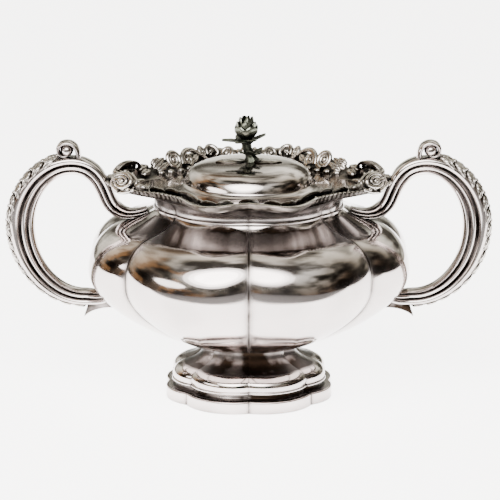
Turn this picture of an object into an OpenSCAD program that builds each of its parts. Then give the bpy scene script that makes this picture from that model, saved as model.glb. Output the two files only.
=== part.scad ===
// Two-handled melon-shaped sugar bowl with a lift-off domed lid.
// Millimetres, Z up. The table is at Z = 0 and the handles lie along X.

/* [Bowl] */
// Radius of the belly at the middle of a lobe
belly_r = 82; // [80:0.5:83]
// Height of the belly's widest ring
belly_z = 66.8; // [64:0.2:69]
// How far each crease is sunk in the belly and foot, as a share of the radius
crease_depth = 0.065; // [0.03:0.005:0.08]
// How far each crease is sunk in the neck, as a share of the radius
neck_crease = 0.03; // [0.02:0.005:0.04]
// Angle from the handle line to the diagonal crease
diagonal_crease = 39; // [37:0.5:44]
// Outer radius of the neck at its waist
waist_r = 47.3; // [46.5:0.1:48]
// Height of the neck's waist
waist_z = 97.8; // [97.3:0.1:98.3]
// Thickness of the raised silver sheet
sheet_t = 0.8; // [0.7:0.1:1]

/* [Rim] */
// Height of the underside of the rim at its outer edge
rim_z = 107.3; // [106.8:0.1:107.8]
// Radius of the rim between its lobes
rim_base_r = 51; // [50:0.5:52]
// How far the rim reaches out over each handle
rim_side_reach = 19; // [17:0.5:20]
// How far the rim reaches out at its four corner lobes
rim_corner_reach = 12; // [10:0.5:13]
// Radius of the mouth that the lid drops into
mouth_r = 38.5; // [38:0.1:39]
// Height of the cast border above the rim
border_h = 6.6; // [5:0.1:7.5]

/* [Foot] */
// Radius of the plinth at the middle of a lobe
plinth_r = 42.8; // [42:0.1:43.5]
// Height of the plinth's upright band
plinth_h = 6; // [5:0.1:6.4]
// Radius of the foot where it meets the bowl
stem_r = 24; // [23:0.1:25]
// Height of the underside of the bowl
stem_z = 26.4; // [26:0.1:27]

/* [Handles] */
// Outermost reach of a handle from the centre line
handle_reach = 120; // [118:0.5:121]
// Height of the top of a handle's loop
handle_top_z = 116.8; // [115.8:0.2:117.8]
// Half of a handle's width, measured along Y
handle_half_y = 5.6; // [5:0.1:6.2]

/* [Lid] */
// Radius of the lid's rim
lid_r = 42; // [41:0.1:42.5]
// Radius of the dome where it rises from the rim
dome_r = 32; // [31.5:0.1:32.5]
// Height of the top of the dome
dome_z = 119; // [118.5:0.1:119.5]
// Top of the finial, which is the overall height
finial_top_z = 141.8; // [141:0.1:143]

/* [Hidden] */

polished = [0.80, 0.79, 0.77];
cast_silver = [0.66, 0.64, 0.60];
oxidised = [0.42, 0.43, 0.38];

lobe_steps = 6;                 // straight steps across one lobe
curve_steps = 6;                // straight steps along one curve of a profile
clear = 0.3;                    // gap between the lid and what it rests in
bezel_t = 0.9;
bezel_z = 99.3;
stud_r = 1.6;
washer_t = 0.8;
nut_t = 2.6;

// ---- curves ----

function bezier(a, b, c, d, t) =
    pow(1 - t, 3) * a + 3 * pow(1 - t, 2) * t * b + 3 * (1 - t) * t * t * c + pow(t, 3) * d;

// Points along a chain of cubic curves: end, control, control, end, control, control, end ...
function chain(c, n = curve_steps) = [
    for (i = [0 : 3 : len(c) - 4]) for (k = [(i == 0 ? 0 : 1) : n])
        bezier(c[i], c[i + 1], c[i + 2], c[i + 3], k / n)
];

function unit(v) = v / norm(v);
function reversed(list) = [for (i = [len(list) - 1 : -1 : 0]) list[i]];
function along(p, i) = unit(p[min(i + 1, len(p) - 1)] - p[max(i - 1, 0)]);

// A flat path moved to its left by d
function offset_path(p, d) = [for (i = [0 : len(p) - 1]) p[i] + d * [-along(p, i)[1], along(p, i)[0]]];

// ---- lobes ----

// Angle folded into the quadrant from the handle line to the front
function folded(a) = let (m = ((a % 180) + 180) % 180) m > 90 ? 180 - m : m;
function lobe_phase(q) = q < diagonal_crease ? q / diagonal_crease
    : (q - diagonal_crease) / (90 - diagonal_crease);
// 0 in a crease and 1 at the middle of a lobe
function lobe_rise(a) = 1 - pow(2 * lobe_phase(folded(a)) - 1, 2);
// Creases grow shallower from the belly's widest ring up to the neck
function crease_at(z) = let (t = min(max((z - belly_z) / (waist_z - belly_z), 0), 1))
    crease_depth + (neck_crease - crease_depth) * t;
function lobed(r, a, z) = r * (1 - crease_at(z) * (1 - lobe_rise(a)));

creases = [
    for (quarter = [0 : 3])
        let (flip = quarter % 2 == 0 ? diagonal_crease : 90 - diagonal_crease)
        each [quarter * 90, quarter * 90 + flip]
];
ring_angles = [
    for (i = [0 : len(creases) - 1])
        let (next = i + 1 < len(creases) ? creases[i + 1] : 360)
        for (k = [0 : lobe_steps - 1]) creases[i] + (next - creases[i]) * k / lobe_steps
];
function at(r, a, z) = [r * cos(a), r * sin(a), z];
function lobed_ring(r, z) = [for (a = ring_angles) at(lobed(r, a, z), a, z)];

// ---- solids from rings of points ----

// Joins rings of equal length. With loop, the last ring joins the first; without, flat ends close it.
// Rings turn right-handed about the way they follow each other, or the other way with flip.
module skin(rings, loop = false, flip = false) {
    n = len(rings[0]);
    count = len(rings);
    last = loop ? count - 1 : count - 2;
    sides = [
        for (i = [0 : last]) for (k = [0 : n - 1])
            let (j = (i + 1) % count, m = (k + 1) % n)
            each [[i * n + k, i * n + m, j * n + m], [i * n + k, j * n + m, j * n + k]]
    ];
    ends = loop ? [] : [
        [for (k = [n - 1 : -1 : 0]) k],
        [for (k = [0 : n - 1]) (count - 1) * n + k]
    ];
    faces = concat(sides, ends);
    polyhedron([for (ring = rings) each ring], flip ? faces : [for (f = faces) reversed(f)], convexity = 8);
}

module lobed_vessel(profile) skin([for (p = profile) lobed_ring(p[0], p[1])]);
module lobed_loop(profile, flip = false)
    skin([for (p = profile) lobed_ring(p[0], p[1])], loop = true, flip = flip);

// ---- bowl ----

belly_under = [[stem_r, stem_z], [46, 30.6], [belly_r, 51.3], [belly_r, belly_z]];
belly_profile = chain([
    belly_under[0], belly_under[1], belly_under[2],
    belly_under[3], [belly_r, 79.3], [73.5, 87.3],
    [64, 89.1], [58, 90.6], [49, 92.8],
    [waist_r, waist_z]
]);
floor_r = 12;

module body_shell() {
    outside = concat([[floor_r, stem_z]], belly_profile);
    inside = reversed(concat([[floor_r, stem_z + sheet_t]], offset_path(belly_profile, sheet_t)));
    color(polished) lobed_vessel(concat(outside, inside));
}

neck_profile = chain([
    [waist_r, waist_z], [waist_r - 0.6, waist_z + 2.4], [waist_r, waist_z + 5], [waist_r + 4, rim_z - 1.9]
]);

module neck_collar() {
    color(polished) lobed_loop(concat(neck_profile, reversed(offset_path(neck_profile, sheet_t))));
}

// Half-round wire that covers the seam between the bowl and its neck
module neck_wire() {
    wire_r = 0.9;
    section = [for (t = [-90 : 30 : 90]) [waist_r + wire_r * cos(t), waist_z + wire_r * sin(t)]];
    color(polished) lobed_loop(section);
}

// ---- rim ----

side_spread = 25;
corner_at = 70;
corner_spread = 12.5;
function rim_outline(a) = let (q = folded(a))
    rim_base_r + rim_side_reach * exp(-pow(q / side_spread, 2))
    + rim_corner_reach * exp(-pow((q - corner_at) / corner_spread, 2));

// One ring of the rim: 0 is the mouth and 1 the outer edge
function rim_ring(share, z) = [for (a = ring_angles) at(mouth_r + (rim_outline(a) - mouth_r) * share, a, z)];

mouth_z = rim_z - 2.6;
rim_levels = [[0, mouth_z], [0.2, mouth_z + 0.2], [0.45, mouth_z + 0.8], [0.75, mouth_z + 1.8], [1, rim_z]];

module rim_plate() {
    under = [for (l = rim_levels) rim_ring(l[0], l[1])];
    over = [for (l = reversed(rim_levels)) rim_ring(l[0], l[1] + sheet_t)];
    color(polished) skin(concat(under, over), loop = true);
}

overhang = 1.2;
// Section of the cast border at one angle, from its outer lip over the crest to its inner edge
function border_section(a, width, swell) =
    let (edge = rim_outline(a) + overhang, base = rim_z + sheet_t - 0.2, top = rim_z + border_h * swell)
    [
        at(edge - 2.4, a, rim_z - 0.8),
        at(edge - 0.4, a, rim_z - 0.6),
        at(edge, a, rim_z + 0.8),
        at(edge - 0.9, a, top - 1),
        at(edge - 0.2 * width, a, top),
        at(edge - 0.55 * width, a, top - 1.2),
        at(edge - width, a, base + 0.3),
        at(edge - width, a, base - 0.4)
    ];

// A run of border whose crest rises and falls once for every flute
module border_run(from, to, width, flutes) {
    steps = 24;
    color(cast_silver) skin([
        for (k = [0 : steps])
            let (t = k / steps, wave = abs(sin(180 * flutes * t)))
            border_section(from + (to - from) * t, width * (0.75 + 0.25 * sin(180 * t)), 0.8 + 0.2 * wave)
    ], flip = true);
}

shell_span = 27;
centre_span = 13;
shell_width = 15;
centre_width = 9;
scroll_width = 7.5;
seam = 0.15;                    // degrees left between neighbouring castings

module rim_shell(middle, span, width) border_run(middle - span, middle + span, width, 5);
module rim_scroll(from, to) border_run(from + seam, to - seam, scroll_width, 4);

module rim_shell_left() rim_shell(180, shell_span, shell_width);
module rim_shell_right() rim_shell(0, shell_span, shell_width);
module rim_shell_front() rim_shell(270, centre_span, centre_width);
module rim_shell_back() rim_shell(90, centre_span, centre_width);
module rim_scroll_front_left() rim_scroll(180 + shell_span, 270 - centre_span);
module rim_scroll_front_right() rim_scroll(270 + centre_span, 360 - shell_span);
module rim_scroll_back_left() rim_scroll(90 + centre_span, 180 - shell_span);
module rim_scroll_back_right() rim_scroll(shell_span, 90 - centre_span);

// ---- foot ----

cushion_r = 39.2;
cushion_z = 10.3;
foot_profile = chain([
    [stem_r - 0.2, stem_z - 0.1], [stem_r - 0.6, stem_z - 5], [stem_r + 4, cushion_z + 8.6],
    [cushion_r - 5.6, cushion_z + 7], [cushion_r - 0.8, cushion_z + 6.2], [cushion_r + 1, cushion_z + 2.8],
    [cushion_r, cushion_z]
]);

module foot() {
    color(polished) lobed_loop(concat(foot_profile, reversed(offset_path(foot_profile, -sheet_t))), flip = true);
}

module foot_bead() {
    bead_r = 0.8;
    section = [for (t = [0 : 45 : 315]) [cushion_r - 0.2 + bead_r * cos(t), cushion_z - 0.8 + bead_r * sin(t)]];
    color(polished) lobed_loop(section);
}

module foot_plinth() {
    cove = chain([
        [plinth_r - 1.5, plinth_h], [cushion_r - 0.6, plinth_h - 0.3], [cushion_r - 2.2, plinth_h + 0.6],
        [cushion_r - 1.6, cushion_z - 1.2]
    ], 4);
    section = concat(
        [[plinth_r - 0.4, 0], [plinth_r, 0.4], [plinth_r, plinth_h - 0.4], [plinth_r - 0.5, plinth_h]],
        cove,
        [[cushion_r - 3.2, cushion_z - 1.2], [cushion_r - 3.2, plinth_h - 0.6], [plinth_r - 2, plinth_h - 1.6],
         [plinth_r - 2, 0]]
    );
    color(polished) lobed_loop(section);
}

// ---- handles ----

handle_mid_x = handle_reach - 7;
handle_path = chain([
    [50.4, 93.8], [60, 90.2], [67.2, 92.4],
    [70.5, 100.8], [73, 106.8], [76, handle_top_z],
    [88, handle_top_z], [101.5, handle_top_z], [handle_mid_x, 102.3],
    [handle_mid_x, 86.3], [handle_mid_x, 67.3], [99, 49.8],
    [82, 49.8], [78, 49.8], [73, 48.2],
    [69.4, 52]
], 8);
// Half the depth of the handle in its own plane, at each end of the five curves
handle_depths = [2.2, 4.2, 4.6, 6.3, 3.9, 3.2];

function eased(t) = t * t * (3 - 2 * t);
function handle_depth(i) = let (s = i / 8, k = min(floor(s), len(handle_depths) - 2))
    handle_depths[k] + (handle_depths[k + 1] - handle_depths[k]) * eased(s - k);

// Point beside the path: out is away from the loop's middle
function beside(i, out, y) =
    let (p = handle_path[i], t = along(handle_path, i), n = [-t[1], t[0]])
    [p[0] + n[0] * out, y, p[1] + n[1] * out];

section_sides = 12;
function handle_section(i) = [
    for (k = [0 : section_sides - 1]) let (a = 360 * k / section_sides)
        beside(i, handle_depth(i) * cos(a), handle_half_y * min(1, handle_depth(i) / 4) * sin(a))
];

module handle_bar() {
    color(polished) skin([for (i = [0 : len(handle_path) - 1]) handle_section(i)], flip = true);
}

leaf_from = 17;
leaf_to = 33;
leaf_t = 1.4;
// Acanthus band on the outside of the loop, with a bump for each leaflet
module handle_leaf() {
    color(cast_silver) skin([
        for (i = [leaf_from : leaf_to])
            let (
                t = (i - leaf_from) / (leaf_to - leaf_from),
                bump = leaf_t * (0.45 + 0.35 * abs(cos(90 * (i - leaf_from)))) * (t < 0.6 ? 1 : 1.6 - t),
                d = handle_depth(i), w = handle_half_y
            )
            [
                beside(i, d * 0.78, -w * 0.72), beside(i, d * 0.84 + bump, -w * 0.66),
                beside(i, d + bump * 0.8, -w * 0.3), beside(i, d + bump, 0), beside(i, d + bump * 0.8, w * 0.3),
                beside(i, d * 0.84 + bump, w * 0.66), beside(i, d * 0.78, w * 0.72), beside(i, d * 0.88, 0)
            ]
    ], flip = true);
}

curl_path = chain([
    [84.9, 118.6], [83.4, 124], [86, 128.3],
    [90.2, 128.3], [94.2, 128.3], [96, 124.4],
    [93.4, 122.3], [91.5, 120.8], [88.6, 122.2],
    [89.5, 124.3]
], 5);
curl_t = 1.5;                   // half the strap's thickness where it leaves the handle
curl_half_y = 4.5;
// Thumb curl that stands on top of the loop and rolls outward
module handle_curl() {
    color(polished) skin([
        for (i = [0 : len(curl_path) - 1])
            let (
                p = curl_path[i], t = along(curl_path, i), n = [-t[1], t[0]],
                share = i / (len(curl_path) - 1), r = curl_t * (1 - 0.5 * share), half = curl_half_y * (1 - 0.2 * share)
            )
            [for (k = [0 : 9]) let (a = 36 * k)
                [p[0] + n[0] * r * cos(a), half * sin(a), p[1] + n[1] * r * cos(a)]]
    ], flip = true);
}

spur_half_y = 3.6;
spur_outline = concat(
    chain([[82.4, 39.7], [79, 42.9], [72, 44.9], [64, 43.5], [61.5, 43], [59, 42], [56.8, 40.6]], 5),
    [[61.2, 44], [64.2, 46.4], [67, 48.8], [70.4, 52.2], [73, 51.5], [78.5, 46.9], [80.6, 46.2]]
);
// Half-widths of the leaf on the belly, in degrees round the bowl
belly_leaf_widths = [4, 4.5, 5.6, 6.9, 7.9, 8.2, 7.7, 6.2, 4, 1.2];
belly_leaf_t = 2.2;

// Leaf soldered to the belly, its back following the crease
module belly_leaf() {
    last = len(belly_leaf_widths) - 1;
    skin([
        for (k = [0 : last])
            let (
                p = bezier(belly_under[0], belly_under[1], belly_under[2], belly_under[3], 0.8 - 0.46 * k / last),
                w = belly_leaf_widths[k], over = p[0] + belly_leaf_t, back = p[0] - 0.3
            )
            [
                at(lobed(over - 1.2, -w, p[1]), -w, p[1]), at(lobed(over, -w / 2, p[1]), -w / 2, p[1]),
                at(lobed(over + 0.3, 0, p[1]), 0, p[1]),
                at(lobed(over, w / 2, p[1]), w / 2, p[1]), at(lobed(over - 1.2, w, p[1]), w, p[1]),
                at(lobed(back, w * 0.9, p[1]), w * 0.9, p[1]), at(lobed(back, 0, p[1]), 0, p[1]),
                at(lobed(back, -w * 0.9, p[1]), -w * 0.9, p[1])
            ]
    ], flip = true);
}

// Spur that props the handle's lower end, and the leaf it grows from
module handle_spur() {
    color(polished) {
        rotate([90, 0, 0]) translate([0, 0, -spur_half_y])
            linear_extrude(2 * spur_half_y) polygon(spur_outline);
        belly_leaf();
    }
}

module handle_right() handle_bar();
module handle_left() mirror([1, 0, 0]) handle_bar();
module handle_leaf_right() handle_leaf();
module handle_leaf_left() mirror([1, 0, 0]) handle_leaf();
module handle_curl_right() handle_curl();
module handle_curl_left() mirror([1, 0, 0]) handle_curl();
module handle_spur_right() handle_spur();
module handle_spur_left() mirror([1, 0, 0]) handle_spur();

// ---- lid ----

lid_z = mouth_z + sheet_t + clear + 0.5;
dome_profile = chain([
    [lid_r, lid_z + 0.6], [lid_r - 5, lid_z + 0.8], [dome_r + 1.6, lid_z + 0.6],
    [dome_r, lid_z + 2.8], [dome_r - 1.6, dome_z - 3], [27, dome_z],
    [stud_r + clear, dome_z]
], 10);

module lid_cover() {
    section = concat([[lid_r, lid_z]], dome_profile, reversed(offset_path(dome_profile, sheet_t)), [[lid_r - 0.8, lid_z]]);
    color(polished) rotate_extrude($fn = 96) polygon(section);
}

// Upright ring under the lid that keeps it centred in the mouth
module lid_bezel() {
    bezel_r = mouth_r - 0.8;
    color(polished) translate([0, 0, bezel_z]) difference() {
        cylinder(h = lid_z - bezel_z + 0.3, r = bezel_r, $fn = 96);
        translate([0, 0, -1]) cylinder(h = lid_z - bezel_z + 3, r = bezel_r - bezel_t, $fn = 96);
    }
}

// ---- finial ----

finial_x = -1.2;
washer_top_z = dome_z - sheet_t;
stem_base_z = dome_z + 0.05;
flower_z = 129.6;
flower_r = 5.9;

module finial_stem() {
    stem_points = chain([
        [1.8, stem_base_z], [1.6, stem_base_z + 3.5], [finial_x, stem_base_z + 3], [finial_x, flower_z]
    ], 6);
    color(oxidised) {
        skin([
            for (i = [0 : len(stem_points) - 1])
                let (r = 4.2 - 1.7 * min(1, i / 2.5))
                [for (a = [0 : 36 : 324]) [stem_points[i][0] + r * cos(a), r * sin(a), stem_points[i][1]]]
        ]);
        translate([0, 0, washer_top_z - washer_t - nut_t - 0.8])
            cylinder(h = washer_t + nut_t + sheet_t + 1.2, r = stud_r, $fn = 32);
    }
}

leaf_y = -1.5;
module base_leaf(side, length) {
    half_widths = [2.6, 4.4, 4.6, 4, 1.6];
    color(cast_silver) skin([
        for (k = [0 : 4])
            let (x = side * (3 + (length - 3) * k / 4), z = dome_z - 0.0022 * x * x, w = half_widths[k])
            [[x, leaf_y - w, z - 0.1], [x, leaf_y, z + 1.3], [x, leaf_y + w, z - 0.1], [x, leaf_y, z - 0.4]]
    ], flip = side > 0);
}
module finial_base_leaves() {
    base_leaf(-1, 16.5);
    base_leaf(1, 16.5);
}

// Leaves that stand out from under the flower: direction, length and rise
calyx_leaves = [[172, 12.4, 0.4], [8, 9.8, 3.4], [120, 9, 1.5], [235, 9, 1], [300, 8, 2]];
module finial_calyx() {
    color(oxidised) {
        translate([finial_x, 0, flower_z - 3]) cylinder(h = 3.4, r1 = 2.4, r2 = 4.6, $fn = 32);
        for (leaf = calyx_leaves)
            translate([finial_x, 0, flower_z - 0.8]) rotate([0, 0, leaf[0]]) skin([
                for (k = [0 : 3])
                    let (t = k / 3, x = 2 + (leaf[1] - 2) * t, w = 2.6 * sin(20 + 150 * t) + 0.3, z = leaf[2] * t)
                    [[x, -w, z], [x, 0, z + 0.9], [x, w, z], [x, 0, z - 0.7]]
            ], flip = true);
    }
}

// Half-open flower: a bud whose outline swells and shrinks as the rings of petals overlap
petals = 5;
flower_levels = [[0.35, 0], [0.86, 0.12], [0.98, 0.3], [0.9, 0.46], [0.98, 0.52], [0.8, 0.76], [0.62, 0.84], [0.5, 1]];
module finial_flower() {
    height = finial_top_z - flower_z;
    color(oxidised) translate([finial_x, 0, flower_z]) skin([
        for (i = [0 : len(flower_levels) - 1])
            [for (a = [0 : 12 : 348])
                let (r = flower_r * flower_levels[i][0] * (0.92 + 0.08 * cos(petals * a + 180 * floor(i / 3))))
                at(r, a, height * flower_levels[i][1])]
    ]);
}

// Dished washer that touches the dome near its hole only
module finial_washer() {
    washer_r = 4.5;
    dish = 0.18;
    section = [
        [stud_r + 0.1, washer_top_z - 0.02], [washer_r, washer_top_z - dish],
        [washer_r, washer_top_z - washer_t - 0.02], [stud_r + 0.1, washer_top_z - washer_t - 0.02]
    ];
    color(polished) rotate_extrude($fn = 48) polygon(section);
}

module finial_nut() {
    color(polished) translate([0, 0, washer_top_z - washer_t - nut_t - 0.04]) difference() {
        cylinder(h = nut_t, r = 3.6, $fn = 6);
        translate([0, 0, -1]) cylinder(h = nut_t + 2, r = stud_r + 0.02, $fn = 32);
    }
}

body_shell();
neck_collar();
neck_wire();
rim_plate();
rim_shell_left();
rim_shell_right();
rim_shell_front();
rim_shell_back();
rim_scroll_front_left();
rim_scroll_front_right();
rim_scroll_back_left();
rim_scroll_back_right();
foot();
foot_bead();
foot_plinth();
handle_left();
handle_right();
handle_leaf_left();
handle_leaf_right();
handle_curl_left();
handle_curl_right();
handle_spur_left();
handle_spur_right();
lid_cover();
lid_bezel();
finial_stem();
finial_base_leaves();
finial_calyx();
finial_flower();
finial_washer();
finial_nut();
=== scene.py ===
"""Looks of a two-handled melon-shaped silver sugar bowl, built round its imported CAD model.

Shapes are worked out in millimetres and turned into metres when a mesh is made.
"""
import math
import bpy
import bmesh
import numpy as np
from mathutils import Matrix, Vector, noise


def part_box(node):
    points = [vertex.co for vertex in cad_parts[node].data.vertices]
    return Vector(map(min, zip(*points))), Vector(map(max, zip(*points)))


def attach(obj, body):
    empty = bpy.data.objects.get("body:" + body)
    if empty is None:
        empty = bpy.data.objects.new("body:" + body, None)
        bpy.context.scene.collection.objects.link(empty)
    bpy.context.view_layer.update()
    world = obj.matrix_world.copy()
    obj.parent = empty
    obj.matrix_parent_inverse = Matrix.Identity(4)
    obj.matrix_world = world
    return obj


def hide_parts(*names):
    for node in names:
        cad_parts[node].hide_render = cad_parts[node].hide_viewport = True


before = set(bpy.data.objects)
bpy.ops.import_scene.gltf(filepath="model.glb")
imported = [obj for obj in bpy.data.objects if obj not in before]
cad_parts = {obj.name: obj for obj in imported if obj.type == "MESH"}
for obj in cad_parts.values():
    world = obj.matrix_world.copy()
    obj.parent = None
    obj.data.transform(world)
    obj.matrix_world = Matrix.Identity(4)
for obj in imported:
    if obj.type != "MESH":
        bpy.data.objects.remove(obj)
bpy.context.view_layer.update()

MM = 0.001


# ---- sizes, from the frame ----

def corners(node):
    """Lowest and highest corner of a CAD node, in millimetres."""
    low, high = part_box(node)
    return [v / MM for v in low], [v / MM for v in high]


SHEET = 0.8
CREASE_DEPTH = 0.065
NECK_CREASE = 0.03
DIAGONAL_CREASE = 39.0
STEM_Z = corners("body_shell")[0][2]
STEM_R = 24.0
WAIST_Z = corners("neck_collar")[0][2]
WAIST_R = 47.3
BELLY_R = 82.0
BELLY_Z = STEM_Z + 40.4
MOUTH_R = 38.5
MOUTH_Z = corners("rim_plate")[0][2]
PLATE_RISE = 2.6
RIM_Z = MOUTH_Z + PLATE_RISE
CUSHION_R = 39.2
CUSHION_Z = corners("foot")[0][2]
PLINTH_R = 42.8
PLINTH_H = 6.0
HANDLE_REACH = 120.0
HANDLE_TOP_Z = corners("handle_right")[1][2] - 4.6
HANDLE_HALF_Y = corners("handle_right")[1][1]
LID_R = corners("lid_cover")[1][0]
LID_Z = corners("lid_cover")[0][2]
DOME_R = 32.0
DOME_Z = corners("lid_cover")[1][2]
DOME_SAG = 0.0022
BEZEL_T = 0.9
STUD_R = 1.6
FINIAL_TOP = corners("finial_flower")[1][2]
FINIAL_X = -1.2
FLOWER_Z = corners("finial_flower")[0][2]


# ---- curves ----

def chain(points, steps):
    """Points along cubic curves: end, control, control, end, control, control, end ..."""
    points = [np.array(p, float) for p in points]
    out = [points[0]]
    for i in range(0, len(points) - 3, 3):
        a, b, c, d = points[i:i + 4]
        for k in range(1, steps + 1):
            t = k / steps
            u = 1 - t
            out.append(u ** 3 * a + 3 * u * u * t * b + 3 * u * t * t * c + t ** 3 * d)
    return np.array(out)


def directions(path):
    """Unit direction at each point of a path."""
    step = np.gradient(np.asarray(path, float), axis=0)
    return step / np.linalg.norm(step, axis=1)[:, None]


def offset_path(path, distance):
    """A flat path moved to its left."""
    d = directions(path)
    return path + distance * np.stack([-d[:, 1], d[:, 0]], 1)


def lengths(path):
    """Distance along a path to each of its points."""
    return np.concatenate([[0], np.cumsum(np.linalg.norm(np.diff(path, axis=0), axis=1))])


def eased(t):
    return t * t * (3 - 2 * t)


def bump(x, width):
    return math.exp(-(x / width) ** 2)


def clamped(x):
    return min(max(x, 0), 1)


def squared_off(x, power):
    """A sine or cosine made blunter by a power below 1, with its sign kept."""
    return math.copysign(abs(x) ** power, x)


def ring(count):
    """Angles evenly round a circle, in radians."""
    return [2 * math.pi * k / count for k in range(count)]


def polar(radius, angle, z):
    """Point at an angle in degrees round the bowl."""
    a = math.radians(angle)
    return radius * math.cos(a), radius * math.sin(a), z


# ---- lobes ----

def folded(angle):
    """Angle in degrees folded into the quadrant from the handle line to the front."""
    angle %= 180
    return 180 - angle if angle > 90 else angle


def lobe_rise(angle):
    """0 in a crease and 1 at the middle of a lobe."""
    q = folded(angle)
    if q < DIAGONAL_CREASE:
        phase = q / DIAGONAL_CREASE
    else:
        phase = (q - DIAGONAL_CREASE) / (90 - DIAGONAL_CREASE)
    return 1 - (2 * phase - 1) ** 2


def crease_at(z):
    """Share of the radius a crease is sunk by: shallower from the belly's widest ring up to the neck."""
    return CREASE_DEPTH + (NECK_CREASE - CREASE_DEPTH) * clamped((z - BELLY_Z) / (WAIST_Z - BELLY_Z))


def lobed(radius, angle, z):
    return radius * (1 - crease_at(z) * (1 - lobe_rise(angle)))


def lobe_angles(steps):
    """Angles round the bowl, closer together near each crease."""
    bounds = []
    for quarter in range(4):
        first = DIAGONAL_CREASE if quarter % 2 == 0 else 90 - DIAGONAL_CREASE
        bounds += [quarter * 90, quarter * 90 + first]
    bounds.append(360)
    out = []
    for low, high in zip(bounds, bounds[1:]):
        for k in range(steps):
            t = k / steps
            out.append(low + (high - low) * (0.25 * t + 0.75 * eased(t)))
    return out


# ---- solids ----

class Solid:
    """Points in millimetres, faces, and how much painted shade each point takes, mostly from how deep it lies in
    the relief.
    """

    def __init__(self):
        self.points = []
        self.faces = []
        self.hollow = []

    def grid(self, rows, hollow=None, loop=False):
        """Joins closed rows of points. The last row joins the first if loop; if not, both ends are capped."""
        base = len(self.points)
        count = len(rows)
        n = len(rows[0])
        for i, row in enumerate(rows):
            for k, p in enumerate(row):
                self.points.append(tuple(p))
                self.hollow.append(0.0 if hollow is None else float(hollow[i][k]))
        for i in range(count if loop else count - 1):
            j = (i + 1) % count
            for k in range(n):
                m = (k + 1) % n
                self.faces.append((base + i * n + k, base + i * n + m, base + j * n + m, base + j * n + k))
        if not loop:
            self.faces.append(tuple(base + k for k in range(n - 1, -1, -1)))
            self.faces.append(tuple(base + (count - 1) * n + k for k in range(n)))

    def mirrored(self, x=1, y=1):
        """A copy, mirrored across X or Y where x or y is -1."""
        copy = Solid()
        copy.points = [(p[0] * x, p[1] * y, p[2]) for p in self.points]
        copy.faces, copy.hollow = self.faces, self.hollow
        return copy

    def piece(self, name, material, body, node, slot, sharp=35):
        """Makes the Blender object, riding on a body in place of a CAD node."""
        mesh = bpy.data.meshes.new(name)
        mesh.from_pydata([[c * MM for c in p] for p in self.points], [], self.faces)
        # The hollow attribute carries each point's painted shade, which the silver materials darken by.
        layer = mesh.attributes.new("hollow", "FLOAT", "POINT")
        layer.data.foreach_set("value", np.clip(self.hollow, 0, 2))
        work = bmesh.new()
        work.from_mesh(mesh)
        bmesh.ops.recalc_face_normals(work, faces=work.faces)
        work.to_mesh(mesh)
        work.free()
        mesh.shade_smooth()
        mesh.set_sharp_from_angle(angle=math.radians(sharp))
        mesh.materials.append(material)
        obj = bpy.data.objects.new(name, mesh)
        bpy.context.scene.collection.objects.link(obj)
        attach(obj, body)
        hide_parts(node)
        return obj


def hand_wobble(point, amount, size):
    """Small unevenness that hand raising leaves in sheet silver."""
    return amount * noise.noise(Vector(point) / size)


def vessel(profile, angles, wobble=0.0, wobble_rows=None, loop=False, shade_and_tarnish=0.5, dark=None):
    """A lobed wall from a list of (radius, height), with painted shade in its creases. dark gives painted shade at
    a radius and height.
    """
    rows = []
    hollow = []
    for i, (r, z) in enumerate(profile):
        row = []
        for a in angles:
            radius = lobed(r, a, z)
            if wobble and (wobble_rows is None or i < wobble_rows):
                radius += hand_wobble(polar(radius, a, z), wobble, 17.0)
            row.append(polar(radius, a, z))
        rows.append(row)
        shade = dark(r, z) if dark else 0
        # Painted shade: the creases darken by (1 - lobe_rise)^13, on top of the dark function's painted shade.
        hollow.append([shade + shade_and_tarnish * (1 - lobe_rise(a)) ** 13 for a in angles])
    solid = Solid()
    solid.grid(rows, hollow, loop=loop)
    return solid


# ---- materials ----

def add_node(tree, kind, values=None):
    """Adds a shader node and sets its inputs from a dictionary."""
    node = tree.nodes.new(kind)
    for key, value in (values or {}).items():
        node.inputs[key].default_value = value
    return node


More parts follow.
